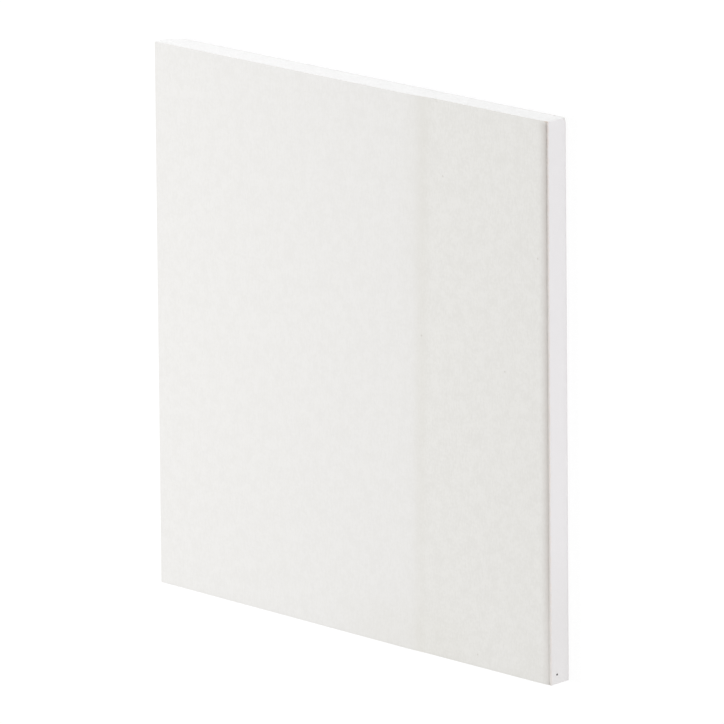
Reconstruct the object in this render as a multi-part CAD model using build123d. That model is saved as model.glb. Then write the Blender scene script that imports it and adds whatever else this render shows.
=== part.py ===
from build123d import *
import os

# A piece cut from a sheet of tapered-edge gypsum wallboard, in millimetres. It lies on its back with its face up.
# X runs across the sheet, with a cut side at -X and the paper-wrapped factory edge at +X. Y runs along the sheet,
# between two cut ends. The origin is at the middle of the back.

# The cut piece
piece_width = 230.0
piece_length = 235.0
board_thickness = 12.5

# The taper pressed into the face: a curved shoulder, then a long slope down to the edge
taper_width = 80.0
shoulder_width = 15.0
shoulder_drop = 0.9
slope_drop = 0.35

# The factory edge: the face rolls down to a score crease, and the paper folds there round the edge to the back
roll_width = 5.5
roll_drop = 0.35
crease_width = 1.2
crease_depth = 0.45
crease_land = 0.15
front_fold_radius = 0.35
back_fold_radius = 1.2

# Places across the sheet, from the cut side to the factory edge
factory_edge = piece_width / 2
cut_side = -factory_edge
shoulder_start = factory_edge - taper_width
shoulder_end = shoulder_start + shoulder_width
fold_start = factory_edge - front_fold_radius
crease_end = fold_start - crease_land
crease_middle = crease_end - crease_width / 2
crease_start = crease_end - crease_width
roll_start = crease_start - roll_width
back_fold_end = factory_edge - back_fold_radius

# Levels above the back
shoulder_foot = board_thickness - shoulder_drop
slope_foot = shoulder_foot - slope_drop
edge_top = slope_foot - roll_drop
crease_bottom = edge_top - crease_depth
front_fold_end = edge_top - front_fold_radius

far_end = Plane.XZ.offset(-piece_length / 2)

with BuildPart() as gypsum_board:
    with BuildSketch(far_end):
        with BuildLine():
            # The face, from the cut side to the crease
            flat = Line((cut_side, board_thickness), (shoulder_start, board_thickness))
            slope = Line((shoulder_end, shoulder_foot), (roll_start, slope_foot))
            shoulder = Spline(flat @ 1, slope @ 0, tangents=[flat % 1, slope % 0])
            roll = TangentArc(slope @ 1, (crease_start, edge_top), tangent=slope % 1)
            # The crease and the two folds of the paper, either side of the edge
            crease = ThreePointArc(roll @ 1, (crease_middle, crease_bottom), (crease_end, edge_top))
            land = Line(crease @ 1, (fold_start, edge_top))
            front_fold = TangentArc(land @ 1, (factory_edge, front_fold_end), tangent=land % 1)
            edge = Line(front_fold @ 1, (factory_edge, back_fold_radius))
            back_fold = TangentArc(edge @ 1, (back_fold_end, 0), tangent=edge % 1)
            # The flat back and the cut side
            Polyline(back_fold @ 1, (cut_side, 0), flat @ 0)
        make_face()
    extrude(amount=piece_length)

os.makedirs("parts", exist_ok=True)
export_step(gypsum_board.part, "parts/gypsum_board.step")
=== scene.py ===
import math
import bmesh
import bpy
import numpy as np
from mathutils import Matrix, Vector


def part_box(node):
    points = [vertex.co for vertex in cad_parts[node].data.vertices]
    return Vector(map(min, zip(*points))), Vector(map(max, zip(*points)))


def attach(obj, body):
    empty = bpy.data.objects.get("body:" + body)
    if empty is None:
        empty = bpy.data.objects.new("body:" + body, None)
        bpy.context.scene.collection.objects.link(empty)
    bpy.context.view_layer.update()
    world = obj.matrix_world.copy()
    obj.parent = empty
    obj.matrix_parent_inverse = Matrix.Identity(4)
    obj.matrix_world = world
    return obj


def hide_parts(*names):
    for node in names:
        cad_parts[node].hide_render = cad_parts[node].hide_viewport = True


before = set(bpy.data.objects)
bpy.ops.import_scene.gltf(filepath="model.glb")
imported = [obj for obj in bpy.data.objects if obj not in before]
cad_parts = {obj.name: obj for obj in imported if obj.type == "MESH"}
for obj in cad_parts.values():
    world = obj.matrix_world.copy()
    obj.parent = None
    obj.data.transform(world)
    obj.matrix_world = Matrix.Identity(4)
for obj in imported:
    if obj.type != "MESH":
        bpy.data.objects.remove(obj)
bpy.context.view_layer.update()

# Face paper: ivory liner, 0.3 mm thick, that the wet core is cast on. It is scored, folded up round the
# factory edge and lapped on to the back, and the forming plate presses the taper into it. It is bonded
# to the core all over, and the saw leaves both flush.
mm = 0.001
low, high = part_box("gypsum_board")
cut_side, factory_edge = low.x, high.x
near_end, far_end = low.y, high.y
face_level = high.z
half_length = (far_end - near_end) / 2

paper_thickness = 0.3 * mm
taper_width = 80 * mm
shoulder_width = 15 * mm
shoulder_drop = 0.9 * mm
slope_drop = 0.35 * mm
roll_width = 5.5 * mm
roll_drop = 0.35 * mm
crease_width = 1.2 * mm
crease_depth = 0.45 * mm
crease_lean = 1.6
crease_land = 0.15 * mm
front_fold = 0.35 * mm
back_fold = 1.2 * mm
lap_width = 26 * mm
back_paper_inset = 20 * mm
tuck_width = 2 * mm
bond_gap = 0.01 * mm
paper_short = 0.03 * mm

shoulder_start = factory_edge - taper_width
shoulder_end = shoulder_start + shoulder_width
crease_end = factory_edge - front_fold - crease_land
crease_start = crease_end - crease_width
crease_bottom = crease_start + crease_width * 0.5 ** (1 / crease_lean)
roll_start = crease_start - roll_width
edge_top = face_level - shoulder_drop - slope_drop - roll_drop
fold_foot = factory_edge - back_fold
back_paper_edge = factory_edge - back_paper_inset
tuck_start = back_paper_edge + tuck_width
lap_end = factory_edge - lap_width

# Marks that the face paper carries
pinhole = np.array([factory_edge, -113.8 * mm, 7.4 * mm])
pinhole_radius = 0.5 * mm
pinhole_depth = 0.28 * mm
pinhole_steepness = 1.6
nick = np.array([51.8 * mm, far_end, 11.3 * mm])
nick_reach = np.array([1.5, 0.8, 0.8]) * mm
nick_depth = 0.3 * mm

# Steps of the mesh, shorter where the paper bends and about its small marks
flat_step = 3 * mm
shoulder_step = 0.75 * mm
slope_step = 2.5 * mm
roll_step = 0.4 * mm
crease_points = 16
fold_points = 7
edge_step = 0.35 * mm
foot_step = 0.3 * mm
tuck_step = 0.25 * mm
lap_step = 1.5 * mm
row_step = 1.2 * mm
fine_reach = 1.8 * mm
fine_step = 0.12 * mm
closest_share = 0.3


def eased(share):
    """Goes from 0 to 1 as the share does, with a soft start and a soft end."""
    share = np.clip(share, 0, 1)
    return share * share * (3 - 2 * share)


def face_height(x):
    """Height of the face, from the flat of the sheet down to the crease."""
    on_slope = np.clip((x - shoulder_end) / (roll_start - shoulder_end), 0, 1)
    on_roll = np.clip((x - roll_start) / roll_width, 0, 1)
    drop = shoulder_drop * eased((x - shoulder_start) / shoulder_width)
    return face_level - drop - slope_drop * on_slope - roll_drop * on_roll**2


def crease_sunk(share):
    """Depth of the crease across its width, with its inner flank the longer one."""
    return crease_depth * (0.5 - 0.5 * np.cos(2 * np.pi * share**crease_lean))


def spaced(start, end, step, marks=(), mark_reach=fine_reach, mark_step=fine_step):
    """Even steps from start to end, with finer steps about each mark and none too close."""
    steps = [np.linspace(start, end, max(2, round(abs(end - start) / step) + 1))]
    for mark in marks:
        fine = np.arange(mark - mark_reach, mark + mark_reach, mark_step)
        steps.append(fine[(fine > min(start, end)) & (fine < max(start, end))])
    together = np.unique(np.concatenate(steps))
    apart = np.diff(together) > closest_share * mark_step
    kept = together[np.concatenate([[True], apart])]
    kept[-1] = together[-1]
    return kept if end > start else kept[::-1]


def face_paper_line():
    """The paper's outer line across the sheet: face, crease, fold, edge, fold and lap."""
    across = np.concatenate([
        spaced(cut_side + paper_short, shoulder_start, flat_step),
        spaced(shoulder_start, shoulder_end, shoulder_step)[1:],
        spaced(shoulder_end, roll_start, slope_step, [nick[0]])[1:],
        spaced(roll_start, crease_start, roll_step)[1:],
    ])
    face = np.column_stack([across, face_height(across)])
    share = np.linspace(0, 1, crease_points + 1)[1:]
    crease = np.column_stack([crease_start + crease_width * share, edge_top - crease_sunk(share)])
    turn = np.linspace(0, np.pi / 2, fold_points)
    to_edge = np.column_stack([
        factory_edge - front_fold * (1 - np.sin(turn)),
        edge_top - front_fold * (1 - np.cos(turn)),
    ])
    down = spaced(edge_top - front_fold, back_fold, edge_step, [pinhole[2]])[1:-1]
    edge = np.column_stack([np.full(len(down), factory_edge), down])
    to_back = np.column_stack([
        factory_edge - back_fold * (1 - np.cos(turn)),
        back_fold * (1 - np.sin(turn)),
    ])
    under = np.concatenate([
        spaced(fold_foot, tuck_start, flat_step, [fold_foot], mark_step=foot_step)[1:],
        spaced(tuck_start, back_paper_edge, tuck_step)[1:],
        spaced(back_paper_edge, lap_end, lap_step)[1:],
    ])
    lifted = (paper_thickness + bond_gap) * eased((tuck_start - under) / tuck_width)
    lap = np.column_stack([under, lifted])
    return np.concatenate([face, crease, to_edge, edge, to_back, lap])


def inside_line(line, depth):
    """The line moved into the board by a depth, along its own normals."""
    run = np.gradient(line, axis=0)
    run /= np.linalg.norm(run, axis=1)[:, None]
    inward = np.column_stack([run[:, 1], -run[:, 0]])
    return line + depth * inward


def curve_through(name, points, closed):
    """A curve object with straight pieces between the points."""
    curve = bpy.data.curves.new(name, "CURVE")
    curve.dimensions = "3D"
    curve.twist_mode = "Z_UP"
    spline = curve.splines.new("POLY")
    spline.points.add(len(points) - 1)
    spline.points.foreach_set("co", np.column_stack([points, np.ones(len(points))]).ravel())
    spline.use_cyclic_u = closed
    made = bpy.data.objects.new(name, curve)
    bpy.context.scene.collection.objects.link(made)
    return made


def add(tree, kind, given, **settings):
    """A new node whose inputs are set, or linked from the outputs given."""
    made = tree.nodes.new(kind)
    for name, value in settings.items():
        setattr(made, name, value)
    for name, value in given.items():
        if isinstance(value, bpy.types.NodeSocket):
            tree.links.new(value, made.inputs[name])
        else:
            made.inputs[name].default_value = value
    return made


def start_tree(name, wanted, result):
    """A new tree of geometry nodes with its named inputs and its one result."""
    tree = bpy.data.node_groups.new(name, "GeometryNodeTree")
    for wanted_name, kind in wanted.items():
        tree.interface.new_socket(wanted_name, in_out="INPUT", socket_type=kind)
    tree.interface.new_socket(result, in_out="OUTPUT", socket_type="NodeSocketGeometry")
    return tree, add(tree, "NodeGroupInput", {}).outputs


def end_tree(tree, shape, finish, result):
    """Makes the shape real, gives it its finish and hands it on as the tree's result."""
    real = add(tree, "GeometryNodeRealizeInstances", {"Geometry": shape}).outputs["Geometry"]
    finished = add(tree, "GeometryNodeSetMaterial", {"Geometry": real, "Material": finish})
    add(tree, "NodeGroupOutput", {result: finished.outputs["Geometry"]})


def sheet_run_tree():
    """Runs a closed section along the length of the sheet, with its two cut ends open."""
    wanted = {
        "Section": "NodeSocketGeometry",
        "Length of run": "NodeSocketObject",
        "Finish": "NodeSocketMaterial",
    }
    tree, given = start_tree("sheet_run", wanted, "Sheet")
    rail = add(tree, "GeometryNodeObjectInfo", {"Object": given["Length of run"]}).outputs["Geometry"]
    sweep = add(tree, "GeometryNodeCurveToMesh", {"Curve": rail, "Profile Curve": given["Section"]})
    end_tree(tree, sweep.outputs["Mesh"], given["Finish"], "Sheet")
    return tree


sheet_run = sheet_run_tree()


def set_tree(worked, tree, settings):
    """Puts a tree of geometry nodes on an object and sets its inputs."""
    sockets = {item.name: item.identifier for item in tree.interface.items_tree}
    modifier = worked.modifiers.new(tree.name, "NODES")
    modifier.node_group = tree
    for name, value in settings.items():
        modifier[sockets[name]] = value


def plain_mesh(name, worked):
    """The worked object's result as a new plain object, with the worked one removed."""
    evaluated = worked.evaluated_get(bpy.context.evaluated_depsgraph_get())
    mesh = bpy.data.meshes.new_from_object(evaluated)
    bpy.data.objects.remove(worked)
    mesh.name = name
    made = bpy.data.objects.new(name, mesh)
    bpy.context.scene.collection.objects.link(made)
    return made


def close_ends(mesh, line_count, kept):
    """Closes both cut ends of a run sheet with short faces between its outer and its inner line."""
    ring = line_count + len(kept)
    shape = bmesh.new()
    shape.from_mesh(mesh)
    shape.verts.ensure_lookup_table()
    for start in (0, len(shape.verts) - ring):
        for step, (left, right) in enumerate(zip(kept[:-1], kept[1:])):
            inner_left = ring - 1 - step
            corners = [*range(left, right + 1), inner_left - 1, inner_left]
            shape.faces.new([shape.verts[start + corner] for corner in corners])
    shape.to_mesh(mesh)
    shape.free()


def run_sheet(name, line, depth, rows, finish):
    """A sheet of the given depth under its outer line across the board, run through the rows."""
    kept = np.unique(np.append(np.arange(0, len(line), 2), len(line) - 1))
    section = np.concatenate([line, inside_line(line, depth)[kept[::-1]]])
    flat = np.column_stack([section[:, 0], -section[:, 1], np.zeros(len(section))])
    worked = curve_through(name + "_section", flat, True)
    rail = curve_through(name + "_rail", np.column_stack([0 * rows, rows, 0 * rows]), False)
    set_tree(worked, sheet_run, {"Length of run": rail, "Finish": finish})
    made = plain_mesh(name, worked)
    bpy.data.objects.remove(rail)
    close_ends(made.data, len(line), kept)
    return made


# How this board came off the line and was handled: the taper is deeper at its far end, its shoulder runs
# a little aslant, the crease wanders, the cuts are not quite square, and it has a nick and two knocked
# corners. Papers and core share these, so they stay bonded. A knock is a corner, how far round it the board
# gives, and how far the corner is pushed.
taper_twist = 0.45 * mm
twist_at_edge = 0.1
shoulder_shift = -0.5 * mm
shoulder_slant = 2.6 * mm
side_lean = 0.68 * mm
near_end_lean = -0.37 * mm
near_end_undercut = 0.4 * mm
far_end_lean = -0.16 * mm
far_end_over = 0.1 * mm
slant_reach = 26 * mm
end_roll = 1 * mm
end_roll_drop = 0.08 * mm
side_corner_reach = 6 * mm
edge_corner_reach = 2.5 * mm
knocks = [
    ((cut_side, far_end, 0), side_corner_reach, (2 * mm, -0.6 * mm, 0)),
    ((factory_edge, far_end, 0), edge_corner_reach, (-0.6 * mm, -0.1 * mm, 0)),
]
crease_reach = 0.9 * mm
crease_fill = 0.18 * mm
crease_wander = 0.1 * mm
wander_step = 1.6 * mm
wander_seed = 12
rng = np.random.default_rng(wander_seed)
wander_places = np.arange(near_end - wander_step, far_end + 2 * wander_step, wander_step)
wander = rng.uniform(-1, 1, len(wander_places))


def handled(points):
    """Moves points of the true board to where they lie on this piece of it."""
    x, y, z = points.T.copy()
    height = np.clip(z / face_level, 0, 1)
    past_shoulder = eased((x - shoulder_start) / shoulder_width)
    to_edge = np.clip((x - shoulder_end) / (factory_edge - shoulder_end), 0, 1)
    twist = taper_twist * y / half_length * height * past_shoulder
    z = z - twist * (1 - (1 - twist_at_edge) * to_edge)
    near_shoulder = 1 - np.clip(abs(x - shoulder_start - shoulder_width / 2) / slant_reach, 0, 1)
    x = x + (shoulder_shift + shoulder_slant * y / half_length) * height * eased(near_shoulder)
    to_far = (y - near_end) / (far_end - near_end)
    near_crease = height * eased(1 - abs(x - crease_bottom) / crease_reach)
    x = x + crease_wander * np.interp(y, wander_places, wander) * near_crease
    z = z + crease_fill * (1 - to_far) * near_crease
    from_nick = np.linalg.norm((np.column_stack([x, y, z]) - nick) / nick_reach, axis=1)
    dent = nick_depth * eased(1 - from_nick)
    y, z = y - dent, z - dent
    z = z - end_roll_drop * height**2 * eased((near_end - y) / end_roll + 1)
    to_side = (factory_edge - x) / (factory_edge - cut_side)
    lean = (near_end_lean * (1 - to_far) + far_end_lean * to_far) * x / factory_edge
    lean = lean + near_end_undercut * (1 - to_far) * (1 - height) + far_end_over * to_far
    moved = np.column_stack([x + side_lean * to_side * y / half_length, y + lean, z])
    for corner, reach, push in knocks:
        away = np.linalg.norm(np.column_stack([x, y, z]) - corner, axis=1) / reach
        moved += eased(1 - away)[:, None] * push
    return moved


def punched(points):
    """Moves points as the handled board does, and sinks the pinhole into the edge."""
    x, y, z = handled(points).T.copy()
    from_pinhole = np.hypot(y - pinhole[1], z - pinhole[2]) / pinhole_radius
    on_edge = x > factory_edge - paper_thickness / 3
    x = x - pinhole_depth * on_edge * eased(pinhole_steepness * (1 - from_pinhole))
    return np.column_stack([x, y, z])


sharp_turn = math.radians(40)
same_point = 0.002 * mm


def reshape(piece, change):
    """Moves a piece's points by a rule, turns its faces outwards and keeps its corners sharp."""
    points = np.empty(3 * len(piece.data.vertices))
    piece.data.vertices.foreach_get("co", points)
    piece.data.vertices.foreach_set("co", change(points.reshape(-1, 3)).ravel())
    shape = bmesh.new()
    shape.from_mesh(piece.data)
    bmesh.ops.remove_doubles(shape, verts=shape.verts, dist=same_point)
    bmesh.ops.recalc_face_normals(shape, faces=shape.faces)
    for face in shape.faces:
        face.smooth = True
    for edge in shape.edges:
        edge.smooth = edge.calc_face_angle(0) < sharp_turn
    shape.to_mesh(piece.data)
    shape.free()


def sums(tree, operation, first, second):
    return add(tree, "ShaderNodeMath", {0: first, 1: second}, operation=operation).outputs[0]


def product(tree, share, *others):
    for other in others:
        share = sums(tree, "MULTIPLY", share, other)
    return share


def span(tree, value, start, end, low=0.0, high=1.0, easing="SMOOTHSTEP"):
    """Goes from low to high while the value goes from start to end."""
    ends = {"Value": value, "From Min": start, "From Max": end, "To Min": low, "To Max": high}
    return add(tree, "ShaderNodeMapRange", ends, interpolation_type=easing).outputs["Result"]


def ridge(tree, value, start, full, last, end):
    """Rises from 0 at the start to 1, stays there from full to last, and falls to 0 at the end."""
    return product(tree, span(tree, value, start, full), span(tree, value, end, last))


def distance(tree, place, point):
    return add(tree, "ShaderNodeVectorMath", {0: place, 1: point}, operation="DISTANCE").outputs["Value"]


def patches(tree, place, size, detail=2.0):
    """A soft random shade, about 0.5, in patches of about the given size."""
    noise = {"Vector": place, "Scale": 1 / size, "Detail": detail}
    return add(tree, "ShaderNodeTexNoise", noise).outputs[0]


def laid(tree, under, colour, *shares):
    """The colour laid over what is under it, by the product of the shares."""
    layers = {0: product(tree, *shares), 6: under, 7: colour}
    return add(tree, "ShaderNodeMix", layers, data_type="RGBA").outputs[2]


def millimetres(tree):
    """The place on the piece in millimetres of the board, whole and as its three parts."""
    place = add(tree, "ShaderNodeTexCoord", {}).outputs["Object"]
    place = add(tree, "ShaderNodeMapping", {"Vector": place, "Scale": [1 / mm] * 3}).outputs["Vector"]
    parts = add(tree, "ShaderNodeSeparateXYZ", {"Vector": place}).outputs
    return place, parts["X"], parts["Y"], parts["Z"]


def new_finish(name):
    finish = bpy.data.materials.new(name)
    finish.use_nodes = True
    return finish, finish.node_tree, finish.node_tree.nodes["Principled BSDF"]


def set_surface(tree, shader, colour, roughness, shine):
    """Gives a finish its colour, its roughness and how strongly it shines."""
    tree.links.new(colour, shader.inputs["Base Color"])
    shader.inputs["Roughness"].default_value = roughness
    shader.inputs["Specular IOR Level"].default_value = shine


fibre_squeeze = (2.2, 0.35, 2.2)
pulp_detail = 3.0


def fibre_shade(tree, place):
    """The random shade of the fibres, drawn out along the sheet as the paper was."""
    drawn = add(tree, "ShaderNodeMapping", {"Vector": place, "Scale": fibre_squeeze}).outputs["Vector"]
    return patches(tree, drawn, 1.0, pulp_detail)


tooth_strength = 0.25
tooth_depth = 0.1 * mm


def add_tooth(tree, shader, height):
    """Gives a paper the tooth of its fibres."""
    bump = {"Height": height, "Strength": tooth_strength, "Distance": tooth_depth}
    bump = add(tree, "ShaderNodeBump", bump).outputs["Normal"]
    tree.links.new(bump, shader.inputs["Normal"])


ivory = (0.874, 0.865, 0.848, 1)
ivory_shade = (0.844, 0.834, 0.814, 1)
pressed_ivory = (0.863, 0.853, 0.826, 1)
pressed_shade = (0.820, 0.809, 0.779, 1)
# The two edge colours paint light: a lilac tint, and more light towards the back
edge_white = (0.876, 0.861, 0.868, 1)
edge_painted_light = (0.908, 0.893, 0.901, 1)
# Soil and painted shade along the shoulder
shoulder_soil_and_shade = (0.76, 0.74, 0.68, 1)
# Soil and painted shade in the crease and on the roll
crease_soil_and_shade = (0.35, 0.275, 0.245, 1)
fold_rub = (0.87, 0.78, 0.72, 1)
torn_tan = (0.76, 0.67, 0.60, 1)
# Painted shadow at the near end, and painted shade at the foot of the edge
end_painted_shadow = (0.62, 0.61, 0.57, 1)
foot_painted_shade = (0.64, 0.63, 0.57, 1)
damp_stain = (0.55, 0.52, 0.36, 1)
fleck_brown = (0.45, 0.41, 0.35, 1)
# Painted shade inside the pinhole
pinhole_painted_shade = (0.012, 0.011, 0.010, 1)

face_paper_finish, tree, shader = new_finish("ivory_face_paper")
place, across, along, up = millimetres(tree)

# The mottle of the pulp, from its fibres to its clouds, over the flat of the face
formation_size = 1.2
cloud_size = 6.0
cloud_share = 0.9
mottle_spread = 1.13, 1.77
fibres = fibre_shade(tree, place)
formation = patches(tree, place, formation_size, pulp_detail)
clouds = patches(tree, place, cloud_size, pulp_detail)
tooth = sums(tree, "ADD", formation, fibres)
mottle = sums(tree, "ADD", tooth, sums(tree, "MULTIPLY", clouds, cloud_share))
mottle = span(tree, mottle, *mottle_spread)
colour = laid(tree, ivory_shade, ivory, mottle)

# Past the slanting shoulder the pressed paper is greyer, and along the shoulder soil and painted shade
# darken it where it slopes away from the light. Here and below, two places in millimetres of the board say
# where a share goes from 0 to 1, and two more numbers after them give other shares than 0 and 1. A ridge
# has four places.
pressed_span = 37.5, 45.5
shoulder_ridge = 36.0, 42.0, 42.0, 48.0
shoulder_along = -100.0, -10.0, 0.16, 0.25
onset_ridge = 26.0, 38.0, 38.0, 46.0
onset_along = 0.0, 80.0, 0.0, 0.1
past_slant = sums(tree, "SUBTRACT", across, sums(tree, "MULTIPLY", along, shoulder_slant / half_length))
pressed = laid(tree, pressed_shade, pressed_ivory, mottle)
colour = laid(tree, colour, pressed, span(tree, past_slant, *pressed_span))
for soil_shade_ridge, soil_shade_along in ((shoulder_ridge, shoulder_along), (onset_ridge, onset_along)):
    on_ridge = ridge(tree, past_slant, *soil_shade_ridge)
    colour = laid(tree, colour, shoulder_soil_and_shade, on_ridge, span(tree, along, *soil_shade_along))

# The factory edge is painted whiter and lilac for the light that falls on it, and painted lighter
# towards the back against the shade near the floor
edge_across = 114.6, 115.0
edge_light_up = 9.5, 1.0
on_edge = span(tree, across, *edge_across)
edge_colour = laid(tree, edge_white, edge_painted_light, span(tree, up, *edge_light_up))
colour = laid(tree, colour, edge_colour, on_edge)

# Soil and painted shade darken the roll and the crease, less so towards the near end, and soil gathers
# in jags towards the far end
jag_size = 1.6
face_up = 9.7, 10.2
roll_across = 109.0, 113.7
roll_power = 1.9
roll_flank = 113.3, 114.0, 1.0, 0.45
roll_land = 114.2, 114.5, 1.0, 1.35
roll_along = -117.5, -60.0, 0.215, 0.43
jags_across = 113.5, 114.2
jags_soil = 0.3, 0.7, 0.0, 0.3
jags_along = 30.0, 117.5, 0.1, 1.0
far_tip_along = 117.3, 115.8, 0.3, 1.0
near_tip_across = 113.2, 113.8
near_tip_along = -116.2, -117.2, 0.0, 0.16
soil_shade_limit = 115.05, 114.7
on_face = span(tree, up, *face_up)
jags = patches(tree, place, jag_size)
roll_soil_shade = sums(tree, "POWER", span(tree, across, *roll_across, easing="LINEAR"), roll_power)
roll_soil_shade = product(tree, roll_soil_shade, span(tree, across, *roll_flank), span(tree, across, *roll_land))
roll_soil_shade = product(tree, roll_soil_shade, span(tree, along, *roll_along))
jags_share = product(tree, span(tree, across, *jags_across), span(tree, jags, *jags_soil))
jags_share = product(tree, jags_share, span(tree, along, *jags_along))
crease_soil_shade_share = product(tree, sums(tree, "ADD", roll_soil_shade, jags_share), span(tree, along, *far_tip_along))
tip_share = product(tree, span(tree, across, *near_tip_across), span(tree, along, *near_tip_along))
crease_soil_shade_share = sums(tree, "ADD", crease_soil_shade_share, tip_share)
colour = laid(tree, colour, crease_soil_and_shade, crease_soil_shade_share, span(tree, across, *soil_shade_limit), on_face)

# The fold beside the crease is rubbed, and its tip at the far end is torn
fold_across = 114.45, 114.7
fold_up = 10.0, 10.6
fold_jags = 0.3, 0.7, 0.1, 0.5
torn_ridge = 112.6, 113.4, 114.7, 115.0
torn_along = 116.7, 117.2, 0.0, 0.85
on_fold = product(tree, span(tree, across, *fold_across), span(tree, up, *fold_up))
colour = laid(tree, colour, fold_rub, on_fold, span(tree, jags, *fold_jags))
torn_share = product(tree, ridge(tree, across, *torn_ridge), span(tree, along, *torn_along))
colour = laid(tree, colour, torn_tan, torn_share, on_face)

# The near end carries painted shadow from where the piece stood, as a faint band and a rim, a damp stain,
# and painted shade at the foot of the edge
end_band = -112.5, -117.5, 0.0, 0.03
end_rim = -116.6, -117.3, 0.0, 0.1
stain_ridge = -20.0, 25.0, 50.0, 85.0
stain_along = -92.0, -108.0, 0.0, 0.05
foot_along = -55.0, -95.0, 0.0, 0.12
end_shadow_share = sums(tree, "MAXIMUM", span(tree, along, *end_band), span(tree, along, *end_rim))
colour = laid(tree, colour, end_painted_shadow, end_shadow_share)
colour = laid(tree, colour, damp_stain, ridge(tree, across, *stain_ridge), span(tree, along, *stain_along))
colour = laid(tree, colour, foot_painted_shade, on_edge, span(tree, along, *foot_along))

# The nick carries soil and painted shade in its dent, the face carries a few flecks, and the pinhole in
# the edge is painted black for the shade inside it
nick_soil_and_shade = 1.7, 0.5, 0.0, 0.2
flecks = [(55.2, 85.9, 0), (42.7, 17.2, 0), (90.0, 9.9, 0), (109.1, 60.1, 0), (73.5, -112.5, 0)]
fleck_soil = 0.6, 0.2, 0.0, 0.3
hole_dark = 0.5, 0.36
hole_across = 114.2, 114.4
flat_place = add(tree, "ShaderNodeCombineXYZ", {"X": across, "Y": along}).outputs["Vector"]
from_nick = distance(tree, flat_place, (nick[0] / mm, far_end / mm, 0))
colour = laid(tree, colour, fleck_brown, span(tree, from_nick, *nick_soil_and_shade))
for fleck in flecks:
    colour = laid(tree, colour, fleck_brown, span(tree, distance(tree, flat_place, fleck), *fleck_soil))
edge_place = add(tree, "ShaderNodeCombineXYZ", {"Y": along, "Z": up}).outputs["Vector"]
from_hole = distance(tree, edge_place, (0, pinhole[1] / mm, pinhole[2] / mm))
colour = laid(tree, colour, pinhole_painted_shade, span(tree, from_hole, *hole_dark), span(tree, across, *hole_across))
set_surface(tree, shader, colour, roughness=0.85, shine=0.25)
add_tooth(tree, shader, tooth)

row_ends = near_end + paper_short, far_end - paper_short
sheet_rows = spaced(*row_ends, row_step, [pinhole[1], near_end, far_end])
face_paper = run_sheet("face_paper", face_paper_line(), paper_thickness, sheet_rows, face_paper_finish)
reshape(face_paper, punched)
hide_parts("gypsum_board")
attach(face_paper, "root")

# Gypsum core: foamed plaster cast between the two papers, which it fills to the folds. It shows at the cut
# side and at the two cut ends, where the saw leaves it flush with the papers, fine grained and open pored.
core_step = 0.36 * mm
core_levels = 34
lap_ledge = 0.12 * mm
core_white = (0.871, 0.870, 0.869, 1)
core_shade = (0.841, 0.840, 0.838, 1)

# Pores, and the crumbs that the saw draws out into streaks
pore_spacing = 1.7 * mm
pore_depth = 0.35 * mm
pore_chance = 0.3, 1.0
pore_reach = 0.12, 0.42
pore_wall = 1.0, 0.2
pore_seed = 4.0
crumb_depth = 0.04 * mm
crumbs_to_a_metre = 1400.0
crumb_detail = 3.0
streak_squeeze = (0.08, 0.08, 1.0)


def core_top(x):
    """The inside of the face paper, down to the fold."""
    share = np.clip((x - crease_start) / crease_width, 0, 1)
    return face_height(x) - crease_sunk(share) - paper_thickness - bond_gap


def core_bottom(x):
    """The inside of the back paper, the lap and the back fold."""
    lapped = eased((x - lap_end) / lap_ledge + 1) * eased((tuck_start - x) / tuck_width)
    inner_fold = back_fold - paper_thickness
    into_fold = np.clip((x - factory_edge + back_fold) / inner_fold, 0, 1)
    rise = inner_fold * (1 - np.sqrt(1 - into_fold**2))
    return (paper_thickness + bond_gap) * (1 + lapped) + rise


def core_mesh(name):
    """A closed block with a fine grid on its three cut faces and plain strips under the papers."""
    inner_edge = factory_edge - paper_thickness - bond_gap
    columns = spaced(cut_side, inner_edge, core_step, [lap_end], core_step, lap_ledge / 2)
    rows = spaced(near_end, far_end, core_step)
    levels = np.linspace(0, 1, core_levels)
    points, inward, faces = [], [], []

    def grid(xs, ys, direction):
        """Adds a cut face through the given places and gives the numbers of its points."""
        first = sum(len(block) for block in points)
        deep = core_bottom(xs)[:, None] + (core_top(xs) - core_bottom(xs))[:, None] * levels
        block = np.stack([np.broadcast_to(v[:, None], deep.shape) for v in (xs, ys)] + [deep], axis=-1)
        points.append(block.reshape(-1, 3))
        inward.append(np.tile(direction, (deep.size, 1)))
        index = first + np.arange(deep.size).reshape(deep.shape)
        quads = np.stack([index[:-1, :-1], index[1:, :-1], index[1:, 1:], index[:-1, 1:]], axis=-1)
        faces.extend(quads.reshape(-1, 4).tolist())
        return index

    near = grid(columns, np.full(len(columns), rows[0]), (0, 1, 0))
    far = grid(columns, np.full(len(columns), rows[-1]), (0, -1, 0))
    side = grid(np.full(len(rows), columns[0]), rows, (1, 0, 0))
    for level in (0, -1):
        strips = np.column_stack([near[1:-1, level], near[2:, level], far[2:, level], far[1:-1, level]])
        faces.extend(strips.tolist())
        faces.append([near[1, level], far[1, level], *side[::-1, level].tolist()])
    faces.extend(np.column_stack([near[-1, :-1], near[-1, 1:], far[-1, 1:], far[-1, :-1]]).tolist())
    mesh = bpy.data.meshes.new(name)
    mesh.from_pydata(handled(np.concatenate(points)).tolist(), [], faces)
    mesh.attributes.new("inward", "FLOAT_VECTOR", "POINT")
    mesh.attributes["inward"].data.foreach_set("vector", np.concatenate(inward).ravel())
    return mesh


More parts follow.
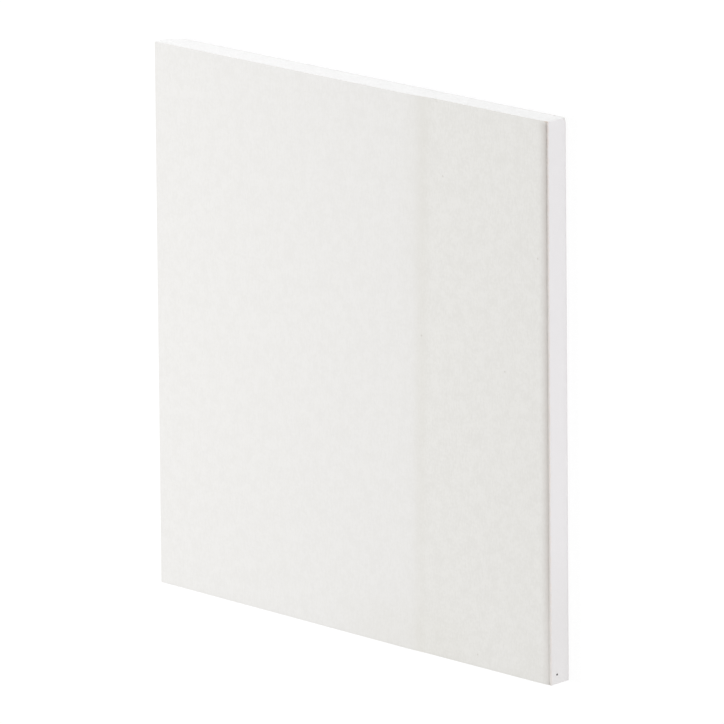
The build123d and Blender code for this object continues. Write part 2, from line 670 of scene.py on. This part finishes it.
def core_pores_tree():
    """Sinks pores and the saw's streaks into the cut faces, in the direction that each point keeps."""
    wanted = {
        "Block": "NodeSocketGeometry",
        "Pores to a metre": "NodeSocketFloat",
        "Pore depth": "NodeSocketFloat",
        "Crumb depth": "NodeSocketFloat",
        "Seed": "NodeSocketFloat",
        "Finish": "NodeSocketMaterial",
    }
    tree, given = start_tree("core_pores", wanted, "Core")
    place = add(tree, "GeometryNodeInputPosition", {}).outputs["Position"]
    spots = {"Vector": place, "W": given["Seed"], "Scale": given["Pores to a metre"]}
    cells = add(tree, "ShaderNodeTexVoronoi", spots, voronoi_dimensions="4D").outputs
    chance = add(tree, "ShaderNodeSeparateXYZ", {"Vector": cells["Color"]}).outputs["X"]
    reach = span(tree, chance, *pore_chance, *pore_reach)
    pore = span(tree, sums(tree, "DIVIDE", cells["Distance"], reach), *pore_wall)
    pore = product(tree, pore, chance, given["Pore depth"])
    drawn = add(tree, "ShaderNodeVectorMath", {0: place, 1: streak_squeeze}, operation="MULTIPLY")
    grain = {
        "Vector": drawn.outputs["Vector"],
        "W": given["Seed"],
        "Scale": crumbs_to_a_metre,
        "Detail": crumb_detail,
    }
    crumb = add(tree, "ShaderNodeTexNoise", grain, noise_dimensions="4D").outputs[0]
    sunk = sums(tree, "ADD", pore, product(tree, crumb, given["Crumb depth"]))
    inward = add(tree, "GeometryNodeInputNamedAttribute", {"Name": "inward"}, data_type="FLOAT_VECTOR")
    inward = {0: inward.outputs["Attribute"], "Scale": sunk}
    move = add(tree, "ShaderNodeVectorMath", inward, operation="SCALE").outputs["Vector"]
    sink = add(tree, "GeometryNodeSetPosition", {"Geometry": given["Block"], "Offset": move})
    end_tree(tree, sink.outputs["Geometry"], given["Finish"], "Core")
    return tree


core_finish, tree, shader = new_finish("gypsum_core")
place = millimetres(tree)[0]
grain_size = 0.9
grain_detail = 4.0
grain_spread = 0.3, 0.7
grain = patches(tree, place, grain_size, grain_detail)
colour = laid(tree, core_shade, core_white, span(tree, grain, *grain_spread))
set_surface(tree, shader, colour, roughness=0.95, shine=0.2)

worked = bpy.data.objects.new("core_block", core_mesh("core_block"))
bpy.context.scene.collection.objects.link(worked)
reshape(worked, lambda points: points)
set_tree(worked, core_pores_tree(), {
    "Pores to a metre": 1 / pore_spacing,
    "Pore depth": pore_depth,
    "Crumb depth": crumb_depth,
    "Seed": pore_seed,
    "Finish": core_finish,
})
gypsum_core = plain_mesh("gypsum_core", worked)
gypsum_core.data.attributes.remove(gypsum_core.data.attributes["inward"])
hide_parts("gypsum_board")
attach(gypsum_core, "root")

# Back paper: grey-tan liner of recycled fibre, 0.3 mm thick. It is laid flat on the wet core last, and its
# edge is glued down over the lap of the face paper. Its cut edges are white with gypsum dust.
back_step = 5 * mm
corner_step = 0.5 * mm
tan_grey = (0.620, 0.585, 0.525, 1)
tan_shade = (0.560, 0.525, 0.465, 1)
gypsum_dust = (0.865, 0.864, 0.863, 1)
back_mottle_spread = 0.75, 1.25
dust_from_cut = 0.6, 0.3
dust_facing = 0.7, 0.5


def unsigned(tree, value):
    return add(tree, "ShaderNodeMath", {0: value}, operation="ABSOLUTE").outputs[0]


back_paper_finish, tree, shader = new_finish("tan_back_paper")
place, across, along, up = millimetres(tree)
fibres = fibre_shade(tree, place)
mottle = sums(tree, "ADD", fibres, patches(tree, place, cloud_size, pulp_detail))
colour = laid(tree, tan_shade, tan_grey, span(tree, mottle, *back_mottle_spread))
from_end = sums(tree, "SUBTRACT", half_length / mm, unsigned(tree, along))
from_side = sums(tree, "SUBTRACT", across, cut_side / mm)
near_cut = span(tree, sums(tree, "MINIMUM", from_end, from_side), *dust_from_cut)
normal = add(tree, "ShaderNodeTexCoord", {}).outputs["Normal"]
upright = unsigned(tree, add(tree, "ShaderNodeSeparateXYZ", {"Vector": normal}).outputs["Z"])
dust_share = sums(tree, "MAXIMUM", near_cut, span(tree, upright, *dust_facing))
colour = laid(tree, colour, gypsum_dust, dust_share)
set_surface(tree, shader, colour, roughness=0.9, shine=0.2)
add_tooth(tree, shader, fibres)

near_corner = {"mark_reach": side_corner_reach, "mark_step": corner_step}
back_across = spaced(back_paper_edge, cut_side + paper_short, back_step, [cut_side], **near_corner)
back_line = np.column_stack([back_across, 0 * back_across])
back_rows = spaced(*row_ends, back_step, [far_end], **near_corner)
back_paper = run_sheet("back_paper", back_line, paper_thickness, back_rows, back_paper_finish)
reshape(back_paper, handled)
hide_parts("gypsum_board")
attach(back_paper, "root")

# Floor: a plain white table that the board lies on. It is seen as white, it keeps the board's faint shadow,
# and to the board it is a matt white surface that sends light back.
floor_reach = 6
floor_drop = 0.02 * mm
table_white = (0.9, 0.9, 0.9, 1)
table_veil = (0.16, 0.16, 0.16, 1)
table_glow = 0.88


def seen_rays(tree):
    """1 for what is seen, also in gloss and through glass, and 0 for the light that falls on things."""
    rays = add(tree, "ShaderNodeLightPath", {}).outputs
    mirrored = sums(tree, "MAXIMUM", rays["Is Glossy Ray"], rays["Is Transmission Ray"])
    return sums(tree, "MAXIMUM", rays["Is Camera Ray"], mirrored)


floor_corners = [
    (-floor_reach, -floor_reach, 0),
    (floor_reach, -floor_reach, 0),
    (floor_reach, floor_reach, 0),
    (-floor_reach, floor_reach, 0),
]
floor_mesh = bpy.data.meshes.new("floor")
floor_mesh.from_pydata(floor_corners, [], [(0, 1, 2, 3)])
floor = bpy.data.objects.new("floor", floor_mesh)
floor.location.z = -floor_drop
bpy.context.scene.collection.objects.link(floor)
floor_finish, tree, shader = new_finish("white_table")
floor_mesh.materials.append(floor_finish)
tree.nodes.remove(shader)
lit = add(tree, "ShaderNodeBsdfDiffuse", {"Color": table_white}).outputs["BSDF"]
glow = add(tree, "ShaderNodeEmission", {"Strength": table_glow}).outputs["Emission"]
veil = add(tree, "ShaderNodeBsdfDiffuse", {"Color": table_veil}).outputs["BSDF"]
shown = add(tree, "ShaderNodeAddShader", {0: glow, 1: veil}).outputs["Shader"]
table = add(tree, "ShaderNodeMixShader", {0: seen_rays(tree), 1: lit, 2: shown}).outputs["Shader"]
tree.links.new(table, tree.nodes["Material Output"].inputs["Surface"])

# Light: an even studio sky that is seen as white, a key lamp over the cut side that picks out the taper,
# and two low lamps, one for the far cut end and one for the factory edge.
sky_white = (1, 1, 1, 1)
sky_strength = 0.64
lamp_white = (1, 1, 1)
lamp_cool = (1, 0.99, 1)
world = bpy.data.worlds.new("studio")
bpy.context.scene.world = world
world.use_nodes = True
tree = world.node_tree
sky = tree.nodes["Background"]
sky.inputs["Color"].default_value = sky_white
sky.inputs["Strength"].default_value = sky_strength
white = add(tree, "ShaderNodeBackground", {"Color": sky_white, "Strength": 1.0}).outputs["Background"]
studio = {0: seen_rays(tree), 1: sky.outputs["Background"], 2: white}
studio = add(tree, "ShaderNodeMixShader", studio).outputs["Shader"]
tree.links.new(studio, tree.nodes["World Output"].inputs["Surface"])


def lamp(name, place, power, width, height, colour):
    """A square or oblong lamp that faces the board and isn't seen itself."""
    light = bpy.data.lights.new(name, "AREA")
    light.energy = power
    light.shape = "RECTANGLE"
    light.size = width
    light.size_y = height
    light.color = colour
    made = bpy.data.objects.new(name, light)
    made.location = place
    made.rotation_euler = (-Vector(place)).to_track_quat("-Z", "Y").to_euler()
    made.visible_camera = False
    bpy.context.scene.collection.objects.link(made)


lamp("key", (-0.42, -0.02, 0.78), power=2.76, width=0.3, height=0.3, colour=lamp_white)
lamp("end_lamp", (-0.08, 0.9, 0.06), power=2.14, width=0.4, height=0.08, colour=lamp_white)
lamp("edge_lamp", (0.95, -0.05, 0.06), power=1.6, width=0.4, height=0.08, colour=lamp_cool)

# Camera: a long lens at the photograph's place over the lying board, turned so that the factory edge is at
# the right of the picture.
camera_azimuth = math.radians(109.09)
camera_elevation = math.radians(42.56)
camera_roll = math.radians(103.81)
camera_distance = 3.7646
camera_aim = Vector((8.13, 0.26, 12.5)) * mm
camera_lens = 453.9
camera_reach = 50
back = Vector((
    math.sin(camera_azimuth) * math.cos(camera_elevation),
    -math.cos(camera_azimuth) * math.cos(camera_elevation),
    math.sin(camera_elevation),
))
lens = bpy.data.cameras.new("camera")
lens.lens = camera_lens
lens.clip_end = camera_reach
camera = bpy.data.objects.new("camera", lens)
level = (-back).to_track_quat("-Z", "Y").to_matrix()
turned = level @ Matrix.Rotation(-camera_roll, 3, "Z")
camera.matrix_world = Matrix.Translation(camera_aim + back * camera_distance) @ turned.to_4x4()
bpy.context.scene.collection.objects.link(camera)
bpy.context.scene.camera = camera

bpy.context.scene.view_settings.view_transform = "Standard"
